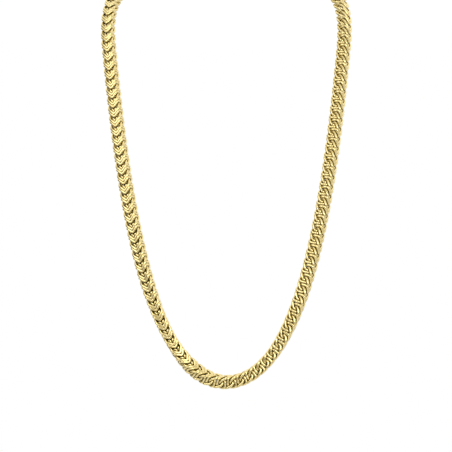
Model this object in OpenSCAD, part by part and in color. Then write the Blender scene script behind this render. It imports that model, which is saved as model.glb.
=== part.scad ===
// Square V-link chain necklace, hanging from the nape with a plain barrel clasp behind

/* [Chain] */
// Width of the square chain across its flat faces
chain_w = 6.3; // [4:0.1:8]
// Length along the chain that one front link and one back link take up
pitch = 5.13; // [4.8:0.01:7]
// Thickness of the wire that each link is bent from
wire_d = 0.92; // [0.6:0.02:1]
// Pairs of links from the lowest point up each strand
pairs = 37; // [10:1:37]

/* [Hang] */
// Tightness of the curve at the lowest point
hang_radius = 21.1; // [15:0.1:40]
// Angle by which the upper strands lean back, in degrees
lean_back = 14; // [0:0.5:25]
// Distance from the lowest point over which the lean builds up
lean_run = 75; // [40:1:120]
// Height of the nape above the lowest point
nape_up = 212; // [190:1:240]
// Depth of the nape behind the lowest point
nape_back = 88; // [70:1:120]

/* [Twist] */
// Turn of the chain about itself high on the left strand, in degrees
twist_start = -18; // [-90:1:90]
// Small turn low on the left strand, in degrees
twist_small = 18; // [0:1:60]
// Quick turn just left of the lowest point, in degrees
twist_quick = 88; // [0:1:120]
// Slow turn on the right strand, in degrees
twist_slow = 30; // [0:1:90]

/* [Clasp] */
// Length of the barrel clasp
clasp_l = 16; // [10:0.5:24]
// Diameter of the barrel clasp
clasp_d = 8.4; // [7:0.1:12]

/* [Hidden] */
gold = [0.86, 0.66, 0.28];
clasp_fn = 48;
gap = 0.3;

// Link shape for a chain 6.3 wide, one half from its leading tip to its trailing tip.
// Columns are the distance out to the side, behind the middle and along the chain.
table_w = 6.3;
half_link = [
    [0, -2.63, 3.6],
    [2.63, -2.05, 1.35],
    [0.84, 1.52, 0.05],
    [1.16, 1.05, -2.3],
    [2.57, -2.57, -1.1],
    [0, -2.63, 1.5]
];
bend_share = chain_w / table_w;
wire_sides = 5;
half_bends = len(half_link);
link_bends = 2 * half_bends - 2;

// The strand is walked in short steps from the lowest point
walk_step = 0.5;
link_reach = 4.3;
strand_end = pairs * pitch + link_reach;
walk_steps = ceil(strand_end / walk_step) + 1;

// Twist steps with the place along the chain, the turn and the length it is spread over
twists = [
    [-60, twist_small, 6],
    [-16, twist_quick, 7],
    [45, twist_slow, 14]
];

// Hidden run from the end of the links round to the clasp, in short straight lengths
run_lengths = 9;
run_rise = 45;
run_round = 38;
nape_twist_left = 0;
nape_twist_right = 180;
tube_corner = 0.56;
tube_gap = 0.2;

function unit(v) = v / norm(v);
function slant(v, t) = unit(v - (v * t) * t);
function mirrored(v) = [-v[0], v[1], v[2]];
function mirrored_all(list) = [for (v = list) mirrored(v)];

// Direction and place on the right strand at a distance from the lowest point
function lean_at(s) = lean_back * (1 - exp(-pow(s / lean_run, 2)));
function heading(s) = let (rise = atan(s / hang_radius), lean = lean_at(s))
    [cos(rise) * cos(lean), sin(lean), sin(rise) * cos(lean)];
walk = [
    for (i = 0, p = [0, 0, 0]; i <= walk_steps; p = p + walk_step * heading((i + 0.5) * walk_step), i = i + 1) p
];
function strand_at(s) = let (i = floor(s / walk_step), rest = s - i * walk_step)
    walk[i] + rest * heading(i * walk_step + rest / 2);

// Place, direction and twist at a distance along the whole visible chain, left is below zero
lowest = [0, clasp_d / 2 - nape_back, -nape_up];
function place_at(s) = lowest + (s < 0 ? mirrored(strand_at(-s)) : strand_at(s));
function along_at(s) = s < 0 ? -mirrored(heading(-s)) : heading(s);
function twist_at(s) = twist_start + twist_sum(s, 0);
function twist_sum(s, i) = i == len(twists) ? 0
    : twists[i][1] / (1 + exp((twists[i][0] - s) / twists[i][2])) + twist_sum(s, i + 1);

// Axes of the chain, sideways and to the back, once it is turned about its own direction
function side_axis(t, front, turn) = cos(turn) * cross(t, front) + sin(turn) * front;
function back_axis(t, front, turn) = sin(turn) * cross(t, front) - cos(turn) * front;

// Closed wire ring of one link, a ring of corners at each bend
function bend_axis(i) = i == 0 || i == half_bends - 1 ? [1, 0, 0] * (i == 0 ? 1 : -1)
    : unit(unit(half_link[i] - half_link[i - 1]) + unit(half_link[i + 1] - half_link[i]));
function flipped(v, t) = v - 2 * (v * t) * t;
function wire_axes(i) = i == 0 ? first_axes() : [for (v = wire_axes(i - 1)) flipped(v, bend_axis(i))];
function first_axes() = let (d = unit(half_link[1] - half_link[0]), m = slant([0, 1, 0], d)) [m, cross(d, m)];
function to_bend(v, d, t) = v - ((v * t) / (d * t)) * d;
function wire_ring(i) = let (
        k = min(i, half_bends - 2),
        d = unit(half_link[k + 1] - half_link[k]),
        axes = wire_axes(k),
        t = bend_axis(i)
    ) [
        for (j = [0:wire_sides - 1]) let (a = 360 * j / wire_sides)
            bend_share * half_link[i]
                + to_bend(wire_d / 2 * (cos(a) * axes[0] + sin(a) * axes[1]), d, t)
    ];
half_rings = [for (i = [0:half_bends - 1]) wire_ring(i)];
link_rings = concat(half_rings, [for (i = [half_bends - 2:-1:1]) mirrored_all(half_rings[i])]);
link_points = [for (ring = link_rings, v = ring) v];

// A back link is a front link turned half way round about the sideways axis
function placed(s, back) = let (
        o = place_at(s),
        t = along_at(s),
        front = slant([0, -1, 0], t),
        x = side_axis(t, front, twist_at(s)),
        y = back_axis(t, front, twist_at(s)),
        turn = back ? -1 : 1
    ) [for (v = link_points) o + v[0] * x + turn * v[1] * y + turn * v[2] * t];

// Triangles of a tube skin between two rings of corners
function band(a, b, sides) = [
    for (j = [0:sides - 1]) let (n = (j + 1) % sides)
        each [[a + j, b + j, b + n], [a + j, b + n, a + n]]
];
function link_faces(base) = [
    for (i = [0:link_bends - 1])
        each band(base + i * wire_sides, base + ((i + 1) % link_bends) * wire_sides, wire_sides)
];

// Hidden run as a curve with a start, two leads and an end
function curve(c, u) = pow(1 - u, 3) * c[0] + 3 * u * pow(1 - u, 2) * c[1]
    + 3 * u * u * (1 - u) * c[2] + pow(u, 3) * c[3];
function curve_way(c, u) = unit(pow(1 - u, 2) * (c[1] - c[0]) + 2 * u * (1 - u) * (c[2] - c[1])
    + u * u * (c[3] - c[2]));
nape_end = [clasp_l / 2 + gap, clasp_d / 2, 0];
run_start = place_at(strand_end);
run_curve = [
    run_start,
    run_start + run_rise * along_at(strand_end),
    nape_end + [run_round, 0, 0],
    nape_end
];

// Square section with cut corners, set up across the run
tube_half = chain_w / 2;
tube_ring = [
    for (q = [0:3]) let (c = cos(90 * q), s = sin(90 * q))
        each [
            tube_half * [c + tube_corner * s, s - tube_corner * c],
            tube_half * [c - tube_corner * s, s + tube_corner * c]
        ]
];
tube_sides = len(tube_ring);
function run_ring(u, shift, left) = let (
        way = curve_way(run_curve, u),
        o = curve(run_curve, u) + shift * way,
        t = left ? -mirrored(way) : way,
        front = slant([0, -cos(90 * u), sin(90 * u)], t),
        from = twist_at(left ? -strand_end : strand_end),
        to = left ? nape_twist_left : nape_twist_right,
        turn = from + (to - from) * u,
        x = side_axis(t, front, turn),
        y = back_axis(t, front, turn)
    ) [for (v = tube_ring) (left ? mirrored(o) : o) + v[0] * x + v[1] * y];

// One straight length of the run, its two ends in the order that the chain runs
function run_length(i, left) = let (
        near = run_ring(i / run_lengths, i == 0 ? 0 : tube_gap / 2, left),
        far = run_ring((i + 1) / run_lengths, i == run_lengths - 1 ? 0 : -tube_gap / 2, left)
    ) left ? concat(far, near) : concat(near, far);
function length_faces(base) = let (end = base + tube_sides) concat(
    band(base, end, tube_sides),
    [for (j = [1:tube_sides - 2]) [base, base + j, base + j + 1]],
    [for (j = [1:tube_sides - 2]) [end, end + j + 1, end + j]]
);

module links(places, left) {
    run_base = len(places) * len(link_points);
    polyhedron(
        points = concat(
            [for (place = places) each placed(place[0], place[1])],
            [for (i = [0:run_lengths - 1]) each run_length(i, left)]
        ),
        faces = concat(
            [for (i = [0:len(places) - 1]) each link_faces(i * len(link_points))],
            [for (i = [0:run_lengths - 1]) each length_faces(run_base + i * 2 * tube_sides)]
        )
    );
}

module chain_left() {
    color(gold)
        links(concat(
            [for (i = [-pairs:0]) [i * pitch, false]],
            [for (i = [-pairs:-1]) [i * pitch, true]]
        ), true);
}

module chain_right() {
    color(gold)
        links(concat(
            [for (i = [1:pairs]) [i * pitch, false]],
            [for (i = [0:pairs]) [i * pitch, true]]
        ), false);
}

module clasp() {
    color(gold)
        translate([0, clasp_d / 2, 0])
            rotate([0, 90, 0])
                cylinder(h = clasp_l, d = clasp_d, center = true, $fn = clasp_fn);
}

chain_left();
chain_right();
clasp();
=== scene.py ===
"""Dresses a square V-link chain necklace, with every link a polished wire and a turned barrel clasp."""

import math

import bpy
import numpy as np
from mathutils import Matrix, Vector
from mathutils.bvhtree import BVHTree


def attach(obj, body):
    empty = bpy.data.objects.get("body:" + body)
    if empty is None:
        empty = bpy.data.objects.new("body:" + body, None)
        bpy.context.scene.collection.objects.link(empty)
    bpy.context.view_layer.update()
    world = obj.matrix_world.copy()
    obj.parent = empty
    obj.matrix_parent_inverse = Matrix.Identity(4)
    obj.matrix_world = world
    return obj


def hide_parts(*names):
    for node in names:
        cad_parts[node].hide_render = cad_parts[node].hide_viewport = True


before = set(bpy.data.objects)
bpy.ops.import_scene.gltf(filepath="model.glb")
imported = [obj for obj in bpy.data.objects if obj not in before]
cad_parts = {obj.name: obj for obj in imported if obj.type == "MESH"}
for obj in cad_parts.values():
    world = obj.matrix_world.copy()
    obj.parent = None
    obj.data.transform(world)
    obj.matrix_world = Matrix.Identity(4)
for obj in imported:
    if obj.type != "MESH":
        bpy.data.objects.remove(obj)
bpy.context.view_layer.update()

MM = 0.001

# Chain, as in the part's source, in millimetres and degrees
CHAIN_W = 6.3
PITCH = 5.13
PAIRS_SEEN = 37
LINK_REACH = 4.3
HANG_RADIUS = 21.1
LEAN_BACK = 14.0
LEAN_RUN = 75.0
NAPE_UP = 212.0
NAPE_BACK = 88.0
NAPE_TWIST_LEFT = 0.0
NAPE_TWIST_RIGHT = 180.0
RUN_RISE = 45.0
RUN_ROUND = 38.0
CLASP_L = 16.0
CLASP_D = 8.4
CLASP_GAP = 0.3
LINK_TIP = 3.3

# Turn of the chain about itself high on the left, and its steps.
# Columns are the place along the chain, the turn and the length it is spread over.
TWIST_START = -18.0
TWISTS = (
    (-60.0, 18.0, 6.0),
    (-16.0, 88.0, 7.0),
    (45.0, 30.0, 14.0),
)

# Points that the seen strand and the hidden run are worked out at
STRAND_STEPS = 800
RUN_STEPS = 500

# Shape of one front link, half of its ring from the leading tip to the trailing tip.
# Columns are the distance out to the side, behind the middle and along the chain.
HALF_LINK = np.array(
    [
        (0.00, -2.60, 3.55),
        (1.35, -2.60, 2.40),
        (2.55, -2.30, 1.05),
        (2.45, -0.95, 0.65),
        (2.50, 0.65, 0.70),
        (1.60, 1.15, 0.75),
        (0.80, 1.90, 0.45),
        (0.65, 1.80, 0.00),
        (0.55, 1.30, -1.20),
        (0.75, 0.95, -3.05),
        (2.20, -0.35, -3.20),
        (2.40, -1.20, -2.70),
        (2.55, -2.30, -0.50),
        (1.35, -2.60, 0.90),
        (0.00, -2.60, 2.10),
    ]
)
ARC_STEPS = 24
ROUNDINGS = 12

# Wire, thicker inside the chain, and the share of the half width over which it thickens
WIRE_D = 1.3
WIRE_D_INSIDE = 1.42
THICKEN = 0.25
WIRE_RINGS = 88
WIRE_SIDES = 12

# Half of the clasp's outline from its middle out to its neck.
# Columns are the distance from the middle and the radius.
CLASP_PROFILE = np.array(
    [
        (0.00, 3.90),
        (0.20, 3.90),
        (0.35, 4.05),
        (0.60, 4.12),
        (3.60, 4.15),
        (3.85, 4.00),
        (4.05, 3.75),
        (4.25, 4.00),
        (4.50, 4.18),
        (6.60, 4.18),
        (6.80, 4.00),
        (7.00, 3.75),
        (7.25, 3.80),
        (7.60, 3.60),
        (7.85, 3.20),
        (7.98, 2.60),
        (8.00, 1.60),
        (8.20, 1.30),
        (8.60, 1.25),
    ]
)

# Rounded tip of the clasp's neck. Columns are the place from its end and the radius.
NECK_TIP = np.array(
    [
        (-1.00, 1.25),
        (-0.50, 1.00),
        (-0.05, 0.85),
        (0.00, 0.02),
    ]
)
CLASP_RINGS = 70
CLASP_SIDES = 144
COLLAR_FROM = 4.5
COLLAR_TO = 6.6
FLUTES = 36
FLUTE_DEEP = 0.16

# Painted shade in the clasp's grooves by their depth, up to a limit, and a fixed share of it on its necks
BARREL_REACH = 7.0
GROOVE_FROM = 0.05
GROOVE_FULL = 0.4
GROOVE_DARK = 0.8
NECK_DARK = 0.25

# Photograph, its frame in pixels and its scale at the lowest point
PHOTO_PX = 452
MM_PER_PX = 0.5
LOWEST_PX = 382.0
MIDDLE_PX = 226.4
CAMERA_AWAY = 800.0
SENSOR = 36

# Gold on the open faces, and the painted shade colour down between the links
GOLD = (0.95, 0.79, 0.38, 1.0)
GOLD_WARM = (0.93, 0.76, 0.34, 1.0)
GOLD_PAINTED_SHADE = (0.16, 0.12, 0.01, 1.0)
ROUGH_FACE = 0.26
ROUGH_RECESS = 0.5

# How open a point on a link is, from the share of rays that leave the chain; shut-in points get the painted
# shade
OPEN_RAYS = 48
OPEN_FULL = 0.72
OPEN_NONE = 0.12
OPEN_PAIRS = 3
RAY_START = 0.02
RAY_REACH = 12.0

# The painted shade in the recesses is at full strength low down and weaker higher up, heights in metres
DARK_BELOW = -0.17
SHADE_WEAK_ABOVE = -0.07
SHADE_SHARE_HIGH = 0.58

# Polishing marks and wear. Columns are the scale per metre, the upright stretch and the detail.
TONE = (120.0, 1.0, 2.0)
WEAR = (450.0, 1.0, 5.0)
MARKS = (3000.0, 0.2, 3.0)
ROUGH_WEAR = 0.06
ROUGH_MARKS = 0.04
MARK_DEEP = 0.02
MARK_STRENGTH = 0.35

# Light of the room by direction, darker in front, below and far to the left.
# Columns are the axis, where the change starts and ends, and the level at each.
ROOM = (
    ("Y", -0.9, 0.2, 0.45, 1.1),
    ("Z", -0.5, 0.3, 0.35, 1.0),
    ("X", -1.0, -0.68, 0.1, 1.0),
)

# Soft lights. Columns are the name, the place, the point aimed at, the size and the power.
LIGHTS = (
    ("key", (-0.32, -0.5, 0.12), (-0.05, -0.06, -0.08), (0.3, 0.4), 0.8),
    ("fill", (0.35, -0.9, 0.1), (0.0, -0.08, -0.13), (0.5, 0.5), 3.2),
)

# Floor, in metres
FLOOR_HALF = 3.0
FLOOR_DROP = -1.4
FLOOR_PALE = (0.9, 0.9, 0.9, 1)


def unit(v):
    return v / np.linalg.norm(v, axis=-1, keepdims=True)


def slant(v, t):
    """The part of v that is square to t, at length one."""
    return unit(v - np.sum(v * t, axis=-1, keepdims=True) * t)


def lengths_along(line):
    """Distance of each point of a line from its first point."""
    return np.concatenate([[0], np.cumsum(np.linalg.norm(np.diff(line, axis=0), axis=1))])


def heading(s):
    """Direction of the right strand at a distance from the lowest point."""
    rise = np.arctan(s / HANG_RADIUS)
    lean = np.radians(LEAN_BACK * (1 - np.exp(-((s / LEAN_RUN) ** 2))))
    return np.stack([np.cos(rise) * np.cos(lean), np.sin(lean), np.sin(rise) * np.cos(lean)], axis=-1)


def right_strand():
    """Points up the right strand and round to the clasp, with the share of the hidden run."""
    end = PAIRS_SEEN * PITCH + LINK_REACH
    s = np.linspace(0, end, STRAND_STEPS)
    step = s[1] - s[0]
    seen = np.vstack([np.zeros(3), np.cumsum(heading((s[1:] + s[:-1]) / 2) * step, axis=0)])
    seen = seen + [0, CLASP_D / 2 - NAPE_BACK, -NAPE_UP]
    way = heading(np.array(end))
    nape = np.array([CLASP_L / 2 + CLASP_GAP, CLASP_D / 2, 0])
    lead = [seen[-1], seen[-1] + RUN_RISE * way, nape + [RUN_ROUND, 0, 0], nape]
    u = np.linspace(0, 1, RUN_STEPS)[1:, None]
    shares = ((1 - u) ** 3, 3 * u * (1 - u) ** 2, 3 * u**2 * (1 - u), u**3)
    hidden = sum(share * point for share, point in zip(shares, lead))
    return np.vstack([seen, hidden]), np.concatenate([0 * s, u[:, 0]]), end


def twist(s):
    return TWIST_START + sum(turn / (1 + np.exp((where - s) / spread)) for where, turn, spread in TWISTS)


class Route:
    """The chain's centre line with its axes, measured from the lowest point, left below zero."""

    def __init__(self):
        right, share, seen_end = right_strand()
        length = lengths_along(right)
        self.half = length[-1]
        self.s = np.concatenate([-length[::-1], length[1:]])
        self.p = np.vstack([right[::-1] * [-1, 1, 1], right[1:]])
        way = unit(np.gradient(self.p, self.s, axis=0))
        share = np.concatenate([share[::-1], share[1:]])
        bend = share * math.pi / 2
        front = slant(np.stack([0 * share, -np.cos(bend), np.sin(bend)], axis=-1), way)
        side = np.cross(way, front)
        seen = twist(np.clip(self.s, -seen_end, seen_end))
        nape = np.where(self.s < 0, NAPE_TWIST_LEFT, NAPE_TWIST_RIGHT)
        turn = np.radians(seen + (nape - seen) * share)[:, None]
        self.x = np.cos(turn) * side + np.sin(turn) * front
        self.y = np.sin(turn) * side - np.cos(turn) * front

    def at(self, s):
        """Places and the two axes, sideways and to the back, at distances along the chain."""
        place, side, back = (
            np.stack([np.interp(s, self.s, line[:, k]) for k in range(3)], axis=-1)
            for line in (self.p, self.x, self.y)
        )
        return place, unit(side), unit(back)


def blend(low, high, knot_low, knot_high, u):
    return ((knot_high - u) * low + (u - knot_low) * high) / (knot_high - knot_low)


def smooth_ring(corners, count):
    """A closed smooth curve through the corners, cut into equal lengths."""
    n = len(corners)
    fine = []
    for i in range(n):
        p = [corners[(i + k - 1) % n] for k in range(4)]
        knots = [0.0]
        for k in range(3):
            knots.append(knots[-1] + np.linalg.norm(p[k + 1] - p[k]) ** 0.5)
        for u in np.linspace(knots[1], knots[2], ARC_STEPS, endpoint=False):
            a = [blend(p[k], p[k + 1], knots[k], knots[k + 1], u) for k in range(3)]
            b = [blend(a[k], a[k + 1], knots[k], knots[k + 2], u) for k in range(2)]
            fine.append(blend(b[0], b[1], knots[1], knots[2], u))
    fine = np.array(fine)
    for _ in range(ROUNDINGS):
        fine = 0.5 * fine + 0.25 * (np.roll(fine, 1, axis=0) + np.roll(fine, -1, axis=0))
    loop = np.vstack([fine, fine[:1]])
    length = lengths_along(loop)
    cut = np.linspace(0, length[-1], count, endpoint=False)
    return np.stack([np.interp(cut, length, loop[:, k]) for k in range(3)], axis=-1)


def wire_skin(path, diameters, sides):
    """Points and faces of a round wire along a closed path, rubbed flat at the chain's faces."""
    n = len(path)
    way = unit(np.roll(path, -1, axis=0) - np.roll(path, 1, axis=0))
    across = [slant(np.array([0.0, 1.0, 0.0]), way[0])]
    for i in range(1, n):
        across.append(slant(across[-1], way[i]))
    last = slant(across[-1], way[0])
    slip = math.atan2(np.dot(np.cross(last, across[0]), way[0]), np.dot(last, across[0]))
    angle = 2 * math.pi * np.arange(sides) / sides
    points = []
    for i in range(n):
        turn = slip * i / n
        a = across[i] * math.cos(turn) + np.cross(way[i], across[i]) * math.sin(turn)
        b = np.cross(way[i], a)
        circle = np.outer(np.cos(angle), a) + np.outer(np.sin(angle), b)
        points.append(path[i] + diameters[i] / 2 * circle)
    points = np.vstack(points)
    points[:, :2] = np.clip(points[:, :2], -CHAIN_W / 2, CHAIN_W / 2)
    faces = []
    for i in range(n):
        m = (i + 1) % n
        for j in range(sides):
            k = (j + 1) % sides
            faces.append((i * sides + j, i * sides + k, m * sides + k, m * sides + j))
    return points, np.array(faces)


def link_mesh():
    corners = np.vstack([HALF_LINK, (HALF_LINK * [-1, 1, 1])[-2:0:-1]])
    ring = smooth_ring(corners, WIRE_RINGS)
    inward = (CHAIN_W / 2 - np.max(np.abs(ring[:, :2]), axis=1)) / CHAIN_W * 2
    inside = np.clip(inward - THICKEN, 0, THICKEN) / THICKEN
    return wire_skin(ring, WIRE_D + (WIRE_D_INSIDE - WIRE_D) * inside, WIRE_SIDES)


def point_normals(points, faces):
    corners = points[faces]
    out = np.cross(corners[:, 2] - corners[:, 0], corners[:, 3] - corners[:, 1])
    normals = np.zeros_like(points)
    for k in range(4):
        np.add.at(normals, faces[:, k], out)
    return unit(normals)


def depth_shares(points, faces):
    """How shut in each point of a link lies in a straight stretch of chain, from 0 in the open to 1, as its
    share of painted shade.
    """
    rows = []
    solids = []
    for pair in range(-OPEN_PAIRS, OPEN_PAIRS + 1):
        for turn in (1, -1):
            solids.append(faces + len(rows) * len(points))
            rows.append(points * [1, turn, turn] + [0, 0, pair * PITCH])
    tree = BVHTree.FromPolygons([tuple(p) for p in np.vstack(rows)], np.vstack(solids).tolist())
    count = np.arange(OPEN_RAYS) + 0.5
    height = np.sqrt(1 - count / OPEN_RAYS)
    radius = np.sqrt(count / OPEN_RAYS)
    angle = count * math.pi * (3 - math.sqrt(5))
    free = np.zeros(len(points))
    for i, (point, normal) in enumerate(zip(points, point_normals(points, faces))):
        side = slant(np.array([0.3, 0.5, 0.8]), normal)
        other = np.cross(normal, side)
        rays = np.outer(height, normal) + np.outer(radius * np.cos(angle), side)
        rays = rays + np.outer(radius * np.sin(angle), other)
        start = Vector(point + RAY_START * normal)
        out = [tree.ray_cast(start, Vector(ray), RAY_REACH)[0] is None for ray in rays]
        free[i] = sum(out) / OPEN_RAYS
    # Points that the rays can hardly leave get painted shade, a dark colour in place of the shadow between
    # the links
    shade_share = np.clip((OPEN_FULL - free) / (OPEN_FULL - OPEN_NONE), 0, 1)
    return shade_share**2 * (3 - 2 * shade_share)


def new_piece(name, points, faces, shade_share, material, node):
    """One smooth mesh from points in millimetres, with its painted shade shares, in place of a part's node.
    """
    mesh = bpy.data.meshes.new(name)
    mesh.from_pydata([tuple(p) for p in points * MM], [], [tuple(int(i) for i in f) for f in faces])
    mesh.polygons.foreach_set("use_smooth", [True] * len(mesh.polygons))
    mesh.update()
    piece = bpy.data.objects.new(name, mesh)
    bpy.context.collection.objects.link(piece)
    layer = mesh.attributes.new("shade_share", "FLOAT", "POINT")
    layer.data.foreach_set("value", shade_share.astype(np.float32))
    mesh.materials.append(material)
    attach(piece, "root")
    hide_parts(node)


def chain_piece(name, first, last, link, shade_share, route, material, node):
    """The links from the first pair to the last, each pair a front link and a back link."""
    points, faces = link
    all_points = []
    all_faces = []
    for pair in range(first, last + 1):
        for turn in (1, -1):
            place, side, back = route.at(pair * PITCH + turn * points[:, 2])
            all_faces.append(faces + len(all_points) * len(points))
            all_points.append(place + points[:, :1] * side + turn * points[:, 1:2] * back)
    shares = np.tile(shade_share, len(all_points))
    new_piece(name, np.vstack(all_points), np.vstack(all_faces), shares, material, node)


def clasp_piece(name, neck_end, material):
    """A turned barrel clasp with two fluted collars, a seam and a neck at each end."""
    half = np.vstack([CLASP_PROFILE, NECK_TIP + [neck_end, 0]])
    length = lengths_along(half)
    cut = np.linspace(0, length[-1], CLASP_RINGS)
    along = np.interp(cut, length, half[:, 0])
    radius = np.interp(cut, length, half[:, 1])
    along = np.concatenate([-along[:0:-1], along])
    radius = np.concatenate([radius[:0:-1], radius])
    angle = 2 * math.pi * np.arange(CLASP_SIDES) / CLASP_SIDES
    collar = (np.abs(along) > COLLAR_FROM) & (np.abs(along) < COLLAR_TO)
    flute = FLUTE_DEEP * np.abs(np.sin(FLUTES / 2 * angle))
    r = radius[:, None] - collar[:, None] * (FLUTE_DEEP - flute[None, :])
    x = along[:, None] + 0 * r
    points = np.stack([x, CLASP_D / 2 + r * np.cos(angle), r * np.sin(angle)], axis=-1)
    faces = []
    for i in range(len(along) - 1):
        low = i * CLASP_SIDES
        high = low + CLASP_SIDES
        for j in range(CLASP_SIDES):
            k = (j + 1) % CLASP_SIDES
            faces.append((low + j, low + k, high + k, high + j))
    # Painted shade shares: the grooves by their depth, the necks at a fixed share
    barrel = np.abs(along)[:, None] < BARREL_REACH
    groove = np.clip((CLASP_D / 2 - GROOVE_FROM - r) / GROOVE_FULL, 0, GROOVE_DARK)
    shade_share = np.where(barrel, groove, NECK_DARK)
    new_piece(name, points.reshape(-1, 3), faces, shade_share.ravel(), material, "clasp")


def map_range(nodes, links, value, low, high, to_low, to_high):
    node = nodes.new("ShaderNodeMapRange")
    node.interpolation_type = "SMOOTHSTEP"
    for name, number in (("From Min", low), ("From Max", high), ("To Min", to_low), ("To Max", to_high)):
        node.inputs[name].default_value = number
    links.new(value, node.inputs["Value"])
    return node.outputs[0]


def math_node(nodes, links, operation, first, second, clamp=False):
    node = nodes.new("ShaderNodeMath")
    node.operation = operation
    node.use_clamp = clamp
    links.new(first, node.inputs[0])
    links.new(second, node.inputs[1])
    return node.outputs[0]


def noise(nodes, links, place, scale, stretch, detail):
    """A soft noise from 0 to 1, stretched along the vertical."""
    squeeze = nodes.new("ShaderNodeMapping")
    squeeze.inputs["Scale"].default_value = (1.0, 1.0, stretch)
    links.new(place, squeeze.inputs["Vector"])
    node = nodes.new("ShaderNodeTexNoise")
    node.inputs["Scale"].default_value = scale
    node.inputs["Detail"].default_value = detail
    links.new(squeeze.outputs[0], node.inputs["Vector"])
    return node.outputs["Fac"]


def mix_colours(nodes, links, factor, first, second):
    node = nodes.new("ShaderNodeMix")
    node.data_type = "RGBA"
    links.new(factor, node.inputs["Factor"])
    for name, colour in (("A", first), ("B", second)):
        if isinstance(colour, tuple):
            node.inputs[name].default_value = colour
        else:
            links.new(colour, node.inputs[name])
    return node.outputs["Result"]


def gold_material(name):
    """Polished gold with fine polishing marks and a little wear, duller in the recesses and darkened there
    by painted shade.
    """
    mat = bpy.data.materials.new(name)
    mat.use_nodes = True
    nodes = mat.node_tree.nodes
    links = mat.node_tree.links
    shader = nodes["Principled BSDF"]
    shader.inputs["Metallic"].default_value = 1.0
    place = nodes.new("ShaderNodeTexCoord").outputs["Object"]
    attribute = nodes.new("ShaderNodeAttribute")
    attribute.attribute_name = "shade_share"
    height = nodes.new("ShaderNodeSeparateXYZ")
    links.new(place, height.inputs[0])
    # Painted shade at full strength low on the chain, weaker higher up
    shade_by_height = map_range(nodes, links, height.outputs["Z"], DARK_BELOW, SHADE_WEAK_ABOVE, 1.0, SHADE_SHARE_HIGH)
    shade_share = math_node(nodes, links, "MULTIPLY", attribute.outputs["Fac"], shade_by_height)
    tone = noise(nodes, links, place, *TONE)
    wear = noise(nodes, links, place, *WEAR)
    marks = noise(nodes, links, place, *MARKS)
    shift = map_range(nodes, links, tone, 0.35, 0.65, 0.0, 1.0)
    face = mix_colours(nodes, links, shift, GOLD, GOLD_WARM)
    # Base colour mixed toward the painted shade colour where a point is shut in
    links.new(mix_colours(nodes, links, shade_share, face, GOLD_PAINTED_SHADE), shader.inputs["Base Color"])
    rough = map_range(nodes, links, shade_share, 0.0, 1.0, ROUGH_FACE, ROUGH_RECESS)
    worn = map_range(nodes, links, wear, 0.4, 0.75, 0.0, ROUGH_WEAR)
    fine = map_range(nodes, links, marks, 0.3, 0.7, -ROUGH_MARKS, ROUGH_MARKS)
    rough = math_node(nodes, links, "ADD", rough, worn)
    rough = math_node(nodes, links, "ADD", rough, fine, clamp=True)
    links.new(rough, shader.inputs["Roughness"])
    bump = nodes.new("ShaderNodeBump")
    bump.inputs["Strength"].default_value = MARK_STRENGTH
    bump.inputs["Distance"].default_value = MARK_DEEP * MM
    links.new(marks, bump.inputs["Height"])
    links.new(bump.outputs[0], shader.inputs["Normal"])
    return mat


def studio_world():
    """A white room that lights the gold by direction and looks plain white itself."""
    world = bpy.data.worlds.new("studio")
    bpy.context.scene.world = world
    world.use_nodes = True
    nodes = world.node_tree.nodes
    links = world.node_tree.links
    nodes.clear()
    out = nodes.new("ShaderNodeOutputWorld")
    back = nodes.new("ShaderNodeBackground")
    place = nodes.new("ShaderNodeTexCoord")
    split = nodes.new("ShaderNodeSeparateXYZ")
    links.new(place.outputs["Generated"], split.inputs[0])
    front, below, left = (map_range(nodes, links, split.outputs[axis], *change) for axis, *change in ROOM)
    level = math_node(nodes, links, "MULTIPLY", front, below)
    level = math_node(nodes, links, "MULTIPLY", level, left)
    ray = nodes.new("ShaderNodeLightPath")
    level = math_node(nodes, links, "MAXIMUM", level, ray.outputs["Is Camera Ray"])
    back.inputs["Color"].default_value = (1, 1, 1, 1)
    links.new(level, back.inputs["Strength"])
    links.new(back.outputs[0], out.inputs[0])


def soft_light(name, place, target, size, power):
    data = bpy.data.lights.new(name, "AREA")
    data.shape = "RECTANGLE"
    data.size = size[0]
    data.size_y = size[1]
    data.energy = power
    lamp = bpy.data.objects.new(name, data)
    bpy.context.collection.objects.link(lamp)
    lamp.location = place
    lamp.rotation_euler = (Vector(target) - Vector(place)).to_track_quat("-Z", "Y").to_euler()


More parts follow.
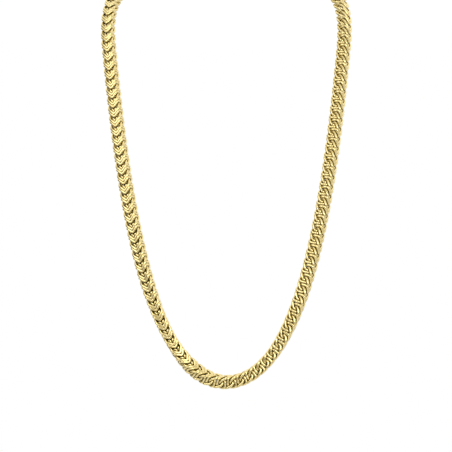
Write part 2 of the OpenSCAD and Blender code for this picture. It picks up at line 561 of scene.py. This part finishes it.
def make_camera():
    """A camera level with the middle of the photograph's frame, at its scale."""
    data = bpy.data.cameras.new("camera")
    data.sensor_width = SENSOR
    data.lens = SENSOR * CAMERA_AWAY / (PHOTO_PX * MM_PER_PX)
    data.clip_start = 0.05
    data.clip_end = 20
    camera = bpy.data.objects.new("camera", data)
    bpy.context.collection.objects.link(camera)
    right = (PHOTO_PX / 2 - MIDDLE_PX) * MM_PER_PX
    away = CLASP_D / 2 - NAPE_BACK - CAMERA_AWAY
    up = (LOWEST_PX - PHOTO_PX / 2) * MM_PER_PX - NAPE_UP
    camera.location = (right * MM, away * MM, up * MM)
    camera.rotation_euler = (math.pi / 2, 0, 0)
    bpy.context.scene.camera = camera


def make_floor():
    corners = [(x * FLOOR_HALF, y * FLOOR_HALF, FLOOR_DROP) for x, y in ((-1, -1), (1, -1), (1, 1), (-1, 1))]
    mesh = bpy.data.meshes.new("floor")
    mesh.from_pydata(corners, [], [(0, 1, 2, 3)])
    floor = bpy.data.objects.new("floor", mesh)
    bpy.context.collection.objects.link(floor)
    mat = bpy.data.materials.new("pale_floor")
    mat.use_nodes = True
    mat.node_tree.nodes["Principled BSDF"].inputs["Base Color"].default_value = FLOOR_PALE
    mesh.materials.append(mat)


make_camera()
make_floor()
studio_world()
bpy.context.scene.view_settings.view_transform = "Standard"
for light in LIGHTS:
    soft_light(*light)

route = Route()
link = link_mesh()
shade_share = depth_shares(*link)
chain_gold = gold_material("chain_gold")
clasp_gold = gold_material("clasp_gold")

# The whole loop of links, cut into four pieces
last = int((route.half - LINK_REACH) / PITCH)
middle = last // 2
for name, first, end, node in (
    ("links_left_high", -last, -middle - 1, "chain_left"),
    ("links_left_low", -middle, 0, "chain_left"),
    ("links_right_low", 1, middle, "chain_right"),
    ("links_right_high", middle + 1, last, "chain_right"),
):
    chain_piece(name, first, end, link, shade_share, route, chain_gold, node)
clasp_piece("barrel_clasp", CLASP_L / 2 + CLASP_GAP + route.half - last * PITCH - LINK_TIP, clasp_gold)

# The part's own meshes get the same gold
for node, material in (("chain_left", chain_gold), ("chain_right", chain_gold), ("clasp", clasp_gold)):
    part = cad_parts[node]
    part.data.materials.clear()
    part.data.materials.append(material)
